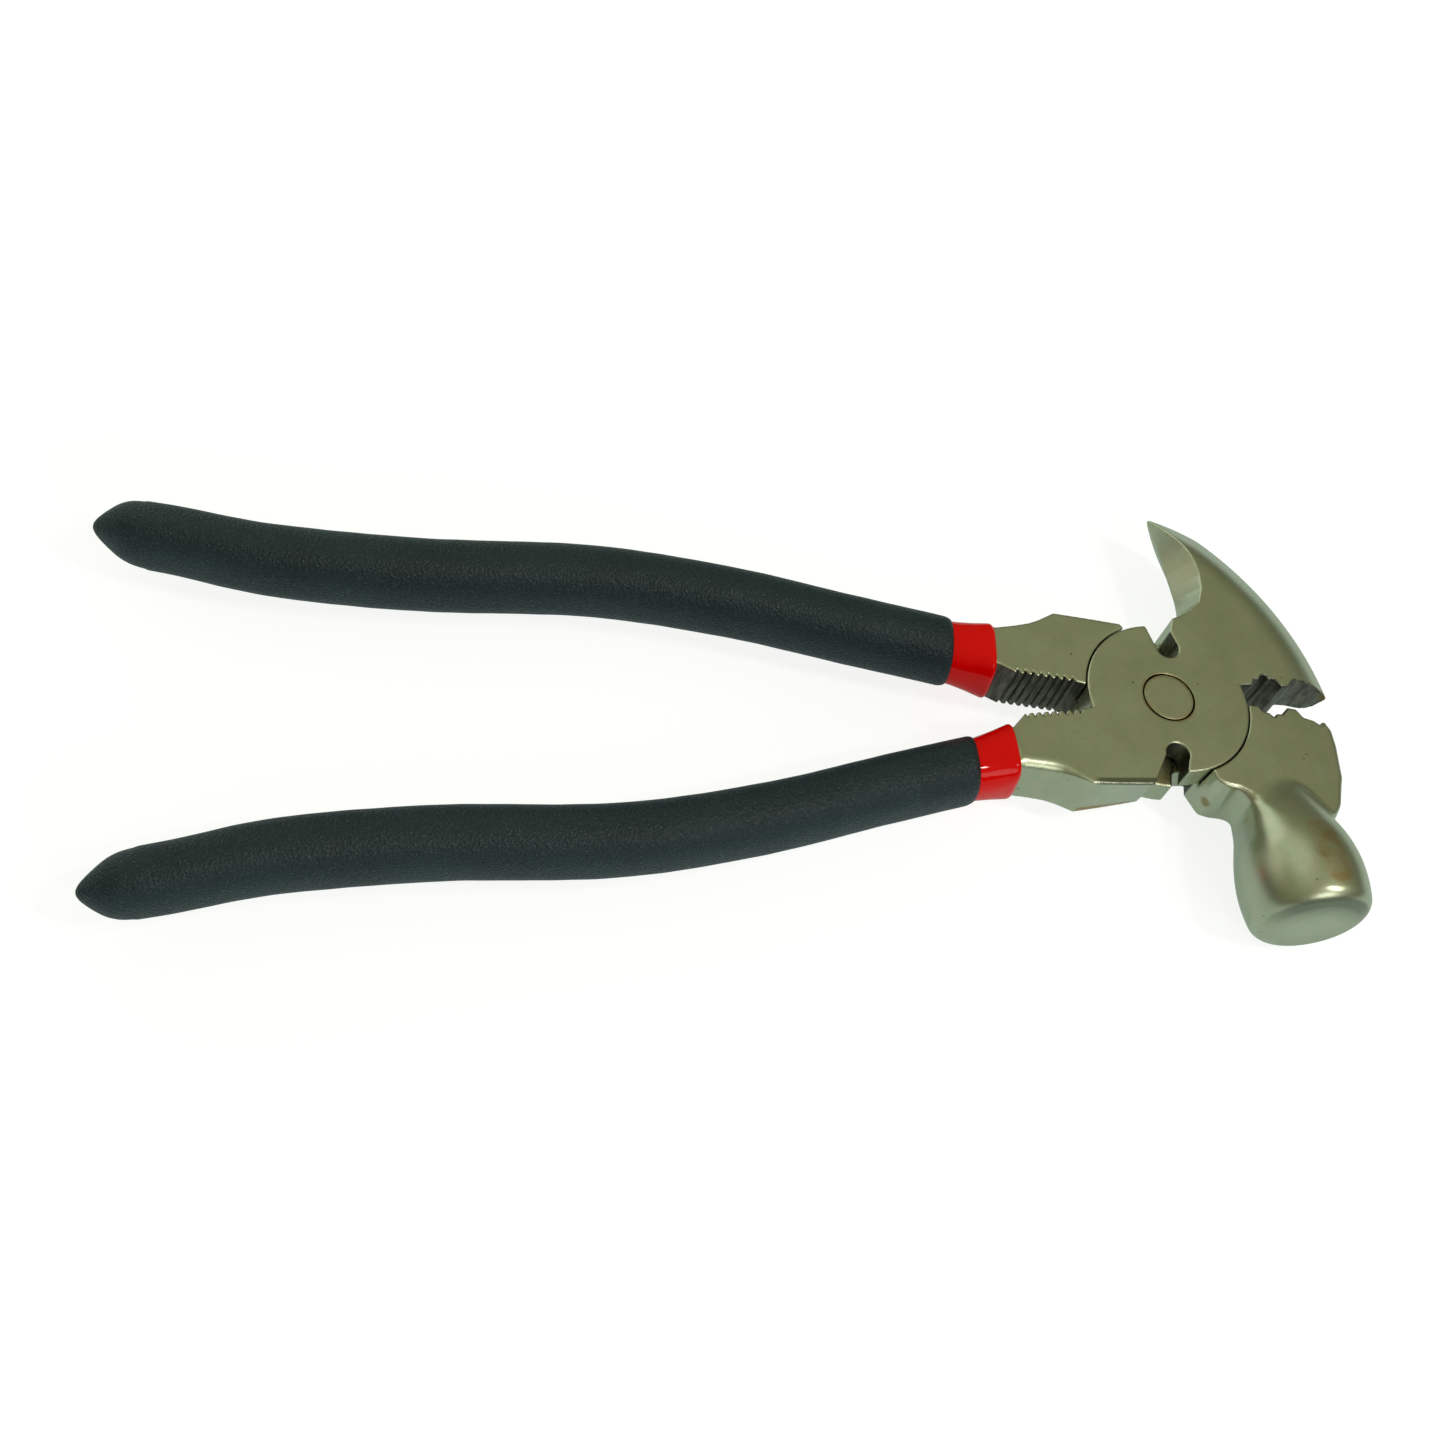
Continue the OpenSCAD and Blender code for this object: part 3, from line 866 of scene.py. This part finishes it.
def steel_material():
    """Satin nickel plate over forged and ground steel, with grinding grain, rubbed edges and residue,
    painted shade on the cut walls, and painted shade on edges that catch the lamps.
    """
    material, n = new_material("satin_nickel_steel")
    place = n.add("ShaderNodeTexCoord").outputs["Object"]
    machined_and_shade = n.add("ShaderNodeAttribute", attribute_name="machined_and_shade").outputs["Fac"]
    bend = n.add("ShaderNodeNewGeometry").outputs["Pointiness"]
    rubbed = n.ramp(bend, 0.53, 0.62)
    hollow = n.ramp(bend, 0.47, 0.40)
    blotch = n.ramp(n.noise(place, 240, 3), 0.3, 0.6, 0.25, 1)
    stained = n.product(residue(n, place), blotch)

    # The cut walls are darkened: partly the cut steel's own tone, partly painted shade between the parts.
    tone = n.mix(machined_and_shade, plated_tone(n, place), machined_and_shade_tone(n, place))
    tone = n.mix(n.product(rubbed, 0.12), tone, rgb(0.66, 0.70, 0.58))
    tone = n.mix(n.product(hollow, 0.6), tone, rgb(0.16, 0.13, 0.09))
    tone = n.mix(n.product(stained, 0.75), tone, rgb(0.30, 0.19, 0.05))
    tone = n.mix(ring_groove(n, place), tone, rgb(0.03, 0.022, 0.012))
    tone = n.mix(trimmed_band(n, place), tone, rgb(0.42, 0.26, 0.09))
    # Painted shade: edges that catch the lamps are darkened so that their highlights do not show.
    tone = n.mix(painted_shade_edges(n, place), tone, rgb(0.2, 0.21, 0.16))

    grain = n.noise(n.stretch(place, (500, 6000, 3000), (0, 0, 0.35)), 1, 2)
    fine = n.noise(place, 5200, 3, 0.6)
    rough = n.ramp(grain, 0.3, 0.7, 0.28, 0.38)
    rough = n.math("ADD", rough, n.product(machined_and_shade, 0.12))
    rough = n.math("ADD", rough, n.product(stained, 0.2))
    rough = n.math("SUBTRACT", rough, n.product(rubbed, 0.06))
    texture = n.math("ADD", n.product(grain, 0.6), n.product(fine, 0.4))
    bump = n.add("ShaderNodeBump", {"Strength": 0.12, "Distance": 0.05 * MM, "Height": texture})
    shader = n.add("ShaderNodeBsdfPrincipled", {
        "Base Color": tone, "Metallic": 1.0, "Roughness": rough, "Normal": bump.outputs["Normal"]})
    n.add("ShaderNodeOutputMaterial", {"Surface": shader.outputs[0]})
    return material


# Centre, radius and soft edge of each residue spot
RESIDUE_SPOTS = [
    ((6.6, -21.6, -1.6), 0.8, 0.8), ((-2.6, -16.5, 1), 1.2, 1.6), ((-5.5, -19, 3), 0.8, 1.6),
    ((23.4, -36.5, 12.7), 2.7, 1.6), ((23.8, -41, 13.4), 2.9, 1.6), ((24.2, -45.5, 13.3), 2.7, 1.6),
    ((42.5, 3.6, 1), 0.6, 2.2)]


def off_rivet_edge(n, place):
    """How far a point is from the edge of the rivet's heads, seen from the front."""
    x, y, _ = n.parts(place)
    square = n.math("ADD", n.product(x, x), n.product(y, y))
    return n.math("ABSOLUTE", n.math("SUBTRACT", n.math("SQRT", square), (RIVET_HEAD_R - 0.03) * MM))


def ring_groove(n, place):
    """The dirt-filled line round the rivet, wider in some places than in others."""
    width = n.ramp(n.noise(place, 170, 1), 0.35, 0.65, 0.12 * MM, 0.26 * MM)
    return n.math("LESS_THAN", off_rivet_edge(n, place), width)


def trimmed_band(n, place):
    """The stained narrow band along the back of the neck's lower wall."""
    x, y, z = n.parts(place)
    along = n.product(n.ramp(x, -22.7 * MM, -22.2 * MM), n.ramp(x, -8 * MM, -11 * MM))
    low = n.ramp(z, MIDDLE.z - (HALF_T - 2.2) * MM, MIDDLE.z - (HALF_T - 1.9) * MM)
    outside = n.ramp(y, -17 * MM, -17.5 * MM)
    patchy = n.ramp(n.noise(place, 400, 3), 0.3, 0.5, 0.5, 0.9)
    return n.product(n.product(along, low), n.product(outside, patchy))


def rim_painted_shade(n, place):
    """Painted shade on the rim of the hammer's face, darker towards the front."""
    _, y, z = n.parts(place)
    above = n.ramp(y, -51.2 * MM, -51.7 * MM)
    below = n.ramp(y, -(FACE_Y - 0.05) * MM, -(FACE_Y - 0.35) * MM)
    front = n.ramp(z, MIDDLE.z + 1 * MM, MIDDLE.z + 7 * MM, 0.15, 0.85)
    return n.product(n.product(above, below), front)


def neck_edge_painted_shade(n, place):
    """Painted shade on the front edge of the lower neck's outer wall, between its corner and the cutter,
    where a lamp's highlight would fall.
    """
    x, y, z = n.parts(place)
    along = n.product(n.ramp(x, -22.5 * MM, -21 * MM), n.ramp(x, -6 * MM, -8 * MM))
    high = n.ramp(z, MIDDLE.z + (HALF_T - 0.8) * MM, MIDDLE.z + (HALF_T - 0.45) * MM, 0, 0.97)
    outside = n.product(n.ramp(y, -20.1 * MM, -20.5 * MM), n.ramp(y, -25 * MM, -24 * MM))
    return n.product(n.product(along, high), outside)


def painted_shade_edges(n, place):
    """Painted shade on edges that face the lamps, which keeps their highlights down."""
    return n.math("MAXIMUM", rim_painted_shade(n, place), neck_edge_painted_shade(n, place))


def residue(n, place):
    """Brown polishing residue: a ring round the rivet, and spots in the notches and on the hammer."""
    total = n.ramp(off_rivet_edge(n, place), 0.9 * MM, 0.2 * MM)
    for centre, spot_radius, soft in RESIDUE_SPOTS:
        total = n.math("MAXIMUM", total, n.near(place, centre, spot_radius, soft))
    return total


def red_material():
    """Glossy red vinyl, faintly wavy from the dip."""
    material, n = new_material("red_vinyl_dip")
    place = n.add("ShaderNodeTexCoord").outputs["Object"]
    flow = n.noise(place, 160, 2)
    tone = n.mix(n.ramp(flow, 0.3, 0.7), rgb(0.90, 0.0004, 0.0006), rgb(0.97, 0.0006, 0.0008))
    bump = n.add("ShaderNodeBump", {
        "Strength": 0.25, "Distance": 0.4 * MM, "Height": n.noise(place, 330, 1)})
    shader = n.add("ShaderNodeBsdfPrincipled", {
        "Base Color": tone, "Roughness": n.ramp(n.noise(place, 900, 2), 0.3, 0.7, 0.04, 0.09),
        "Specular IOR Level": 0.22, "Normal": bump.outputs["Normal"]})
    n.add("ShaderNodeOutputMaterial", {"Surface": shader.outputs[0]})
    return material


def black_material():
    """Matt, finely pebbled blue-black plastisol with lighter specks: partly the dip's own speckle, partly
    painted glints.
    """
    material, n = new_material("black_textured_dip")
    place = n.add("ShaderNodeTexCoord").outputs["Object"]
    pebbles = n.add("ShaderNodeTexVoronoi", {"Vector": place, "Scale": 1700}).outputs["Distance"]
    speck_and_glint = n.noise(place, 2600, 2, 0.6)
    cloudy = n.noise(place, 60, 3)
    tone = n.mix(n.ramp(cloudy, 0.35, 0.65), rgb(0.004, 0.016, 0.022), rgb(0.007, 0.023, 0.030))
    # Lighter specks in the colour: partly the dip's own speckle, partly painted glints of its textured
    # gloss.
    tone = n.mix(n.ramp(speck_and_glint, 0.56, 0.72, 0, 0.75), tone, rgb(0.045, 0.075, 0.095))
    rough = n.ramp(speck_and_glint, 0.3, 0.7, 0.58, 0.34)
    height = n.math("ADD", n.product(pebbles, 0.7), n.product(speck_and_glint, 0.6))
    bump = n.add("ShaderNodeBump", {"Strength": 0.8, "Distance": 0.3 * MM, "Height": height})
    shader = n.add("ShaderNodeBsdfPrincipled", {
        "Base Color": tone, "Roughness": rough, "Specular IOR Level": 0.45,
        "Normal": bump.outputs["Normal"]})
    n.add("ShaderNodeOutputMaterial", {"Surface": shader.outputs[0]})
    return material


# ---- stage ----

def build_floor():
    """A pale light-table floor just under the hammer, greyer in reflections than to the camera."""
    half_side = 3
    gap = 0.05
    z = MIDDLE.z - (BARREL_R + gap) * MM
    mesh = bpy.data.meshes.new("floor")
    corners = [(sx * half_side, sy * half_side, z) for sx, sy in ((-1, -1), (1, -1), (1, 1), (-1, 1))]
    mesh.from_pydata(corners, [], [(0, 1, 2, 3)])
    floor = bpy.data.objects.new("floor", mesh)
    bpy.context.scene.collection.objects.link(floor)
    material, n = new_material("floor_white")
    board = n.add("ShaderNodeAddShader", {
        0: n.add("ShaderNodeBsdfDiffuse", {"Color": rgb(0.36, 0.42, 0.42)}).outputs[0],
        1: n.add("ShaderNodeEmission", {"Color": rgb(0.82, 1, 0.98), "Strength": 0.34}).outputs[0]})
    matt = n.add("ShaderNodeBsdfDiffuse", {"Color": rgb(0.4, 0.4, 0.4)})
    glow = n.add("ShaderNodeEmission", {"Color": rgb(1, 1, 1), "Strength": 0.82})
    table = n.add("ShaderNodeAddShader", {0: matt.outputs[0], 1: glow.outputs[0]})
    camera_ray = n.add("ShaderNodeLightPath").outputs["Is Camera Ray"]
    seen = n.add("ShaderNodeMixShader", {0: camera_ray, 1: board.outputs[0], 2: table.outputs[0]})
    n.add("ShaderNodeOutputMaterial", {"Surface": seen.outputs[0]})
    mesh.materials.append(material)


WORLD_STOPS = [(0.0, 0.08), (0.2, 0.13), (0.5, 0.25), (0.78, 0.32), (1.0, 0.36)]
WORLD_TINT = (0.94, 1, 0.64)


def build_world():
    """A soft surround: dim near the horizon and brighter overhead, plain pale to the camera."""
    world = bpy.data.worlds.new("studio")
    bpy.context.scene.world = world
    world.use_nodes = True
    n = Nodes(world.node_tree)
    direction = n.add("ShaderNodeTexCoord").outputs["Generated"]
    height = n.add("ShaderNodeSeparateXYZ", {"Vector": direction}).outputs[2]
    ramp = n.add("ShaderNodeValToRGB", {"Fac": height})
    elements = ramp.color_ramp.elements
    while len(elements) < len(WORLD_STOPS):
        elements.new(0.5)
    for element, (place, value) in zip(elements, WORLD_STOPS):
        element.position = place
        element.color = rgb(*(value * tint for tint in WORLD_TINT))
    camera_ray = n.add("ShaderNodeLightPath").outputs["Is Camera Ray"]
    seen = n.mix(camera_ray, ramp.outputs["Color"], rgb(0.95, 0.95, 0.95))
    background = n.add("ShaderNodeBackground", {"Color": seen, "Strength": 1.0})
    n.add("ShaderNodeOutputWorld", {"Surface": background.outputs[0]})


# Name, position in metres, size, power and colour of each lamp
LIGHTS = [
    ("key", (0.3, -1.05, 0.68), 0.7, 2.6, (0.95, 1, 0.97)),
    ("soft_side", (-0.42, 0.62, 1.05), 1.0, 0.9, (0.85, 1, 0.9)),
    ("low_back", (-0.5, 0.95, 0.3), 0.8, 1.4, (0.85, 1, 0.95)),
    ("facet_side", (-0.84, 0.5, 0.36), 0.55, 0.33, (1, 1, 0.85)),
    ("lamp_high", (0.38, -0.30, 1.0), 0.09, 1.3, (1, 1, 1)),
    ("lamp_low", (0.52, -0.42, 0.88), 0.09, 1.3, (1, 1, 1))]


def add_area_light(name, position, size, power, tone):
    """A round lamp aimed at the frame's origin."""
    light = bpy.data.lights.new(name, "AREA")
    light.shape = "DISK"
    light.size = size
    light.energy = power
    light.color = tone
    lamp = bpy.data.objects.new(name, light)
    bpy.context.scene.collection.objects.link(lamp)
    lamp.location = position
    lamp.rotation_mode = "QUATERNION"
    lamp.rotation_quaternion = (-Vector(position)).to_track_quat("-Z", "Y")


CAMERA_AT = Vector((-0.2022, -0.2097, 0.3484))
CAMERA_AHEAD = Vector((0.24844, 0.49986, -0.82971))
CAMERA_ROLL = math.radians(22.97)
CAMERA_LENS = 49.38
SENSOR_WIDTH = 36


def build_camera():
    """A camera near the handles' end, rolled so that the handles lie across the picture."""
    camera = bpy.data.cameras.new("camera")
    camera.lens = CAMERA_LENS
    camera.sensor_width = SENSOR_WIDTH
    camera.clip_start = 0.01
    rig = bpy.data.objects.new("camera", camera)
    bpy.context.scene.collection.objects.link(rig)
    level = CAMERA_AHEAD.cross(Vector((0, 0, 1))).normalized()
    upright = level.cross(CAMERA_AHEAD).normalized()
    right = level * math.cos(CAMERA_ROLL) + upright * math.sin(CAMERA_ROLL)
    up = upright * math.cos(CAMERA_ROLL) - level * math.sin(CAMERA_ROLL)
    axes = Matrix((right, up, -CAMERA_AHEAD)).transposed().to_4x4()
    rig.matrix_world = Matrix.Translation(CAMERA_AT) @ axes
    bpy.context.scene.camera = rig


# ---- assembly ----

def place(piece, material, body, node, slot):
    """Gives a piece its material and its body, in the stead of one CAD node."""
    piece.data.materials.append(material)
    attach(piece, body)
    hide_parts(node)


steel, red, black = steel_material(), red_material(), black_material()
place(build_spike_half(), steel, "spike_side", "spike_half", "steel")
place(build_hammer_half(), steel, "hammer_side", "hammer_half", "steel")
place(build_rivet(), steel, "spike_side", "pivot_rivet", "steel")
for side, other_way, seed in (("spike", False, 1), ("hammer", True, 2)):
    body = side + "_side"
    dip, grip = side + "_half_red_dip", side + "_half_grip"
    place(build_red_dip(side + "_red_sleeve", other_way), red, body, dip, "red_dip")
    place(build_black_grip(side + "_black_sleeve", other_way, seed), black, body, grip, "black_grip")

build_floor()
build_world()
for light in LIGHTS:
    add_area_light(*light)
build_camera()
bpy.context.scene.view_settings.view_transform = "Standard"
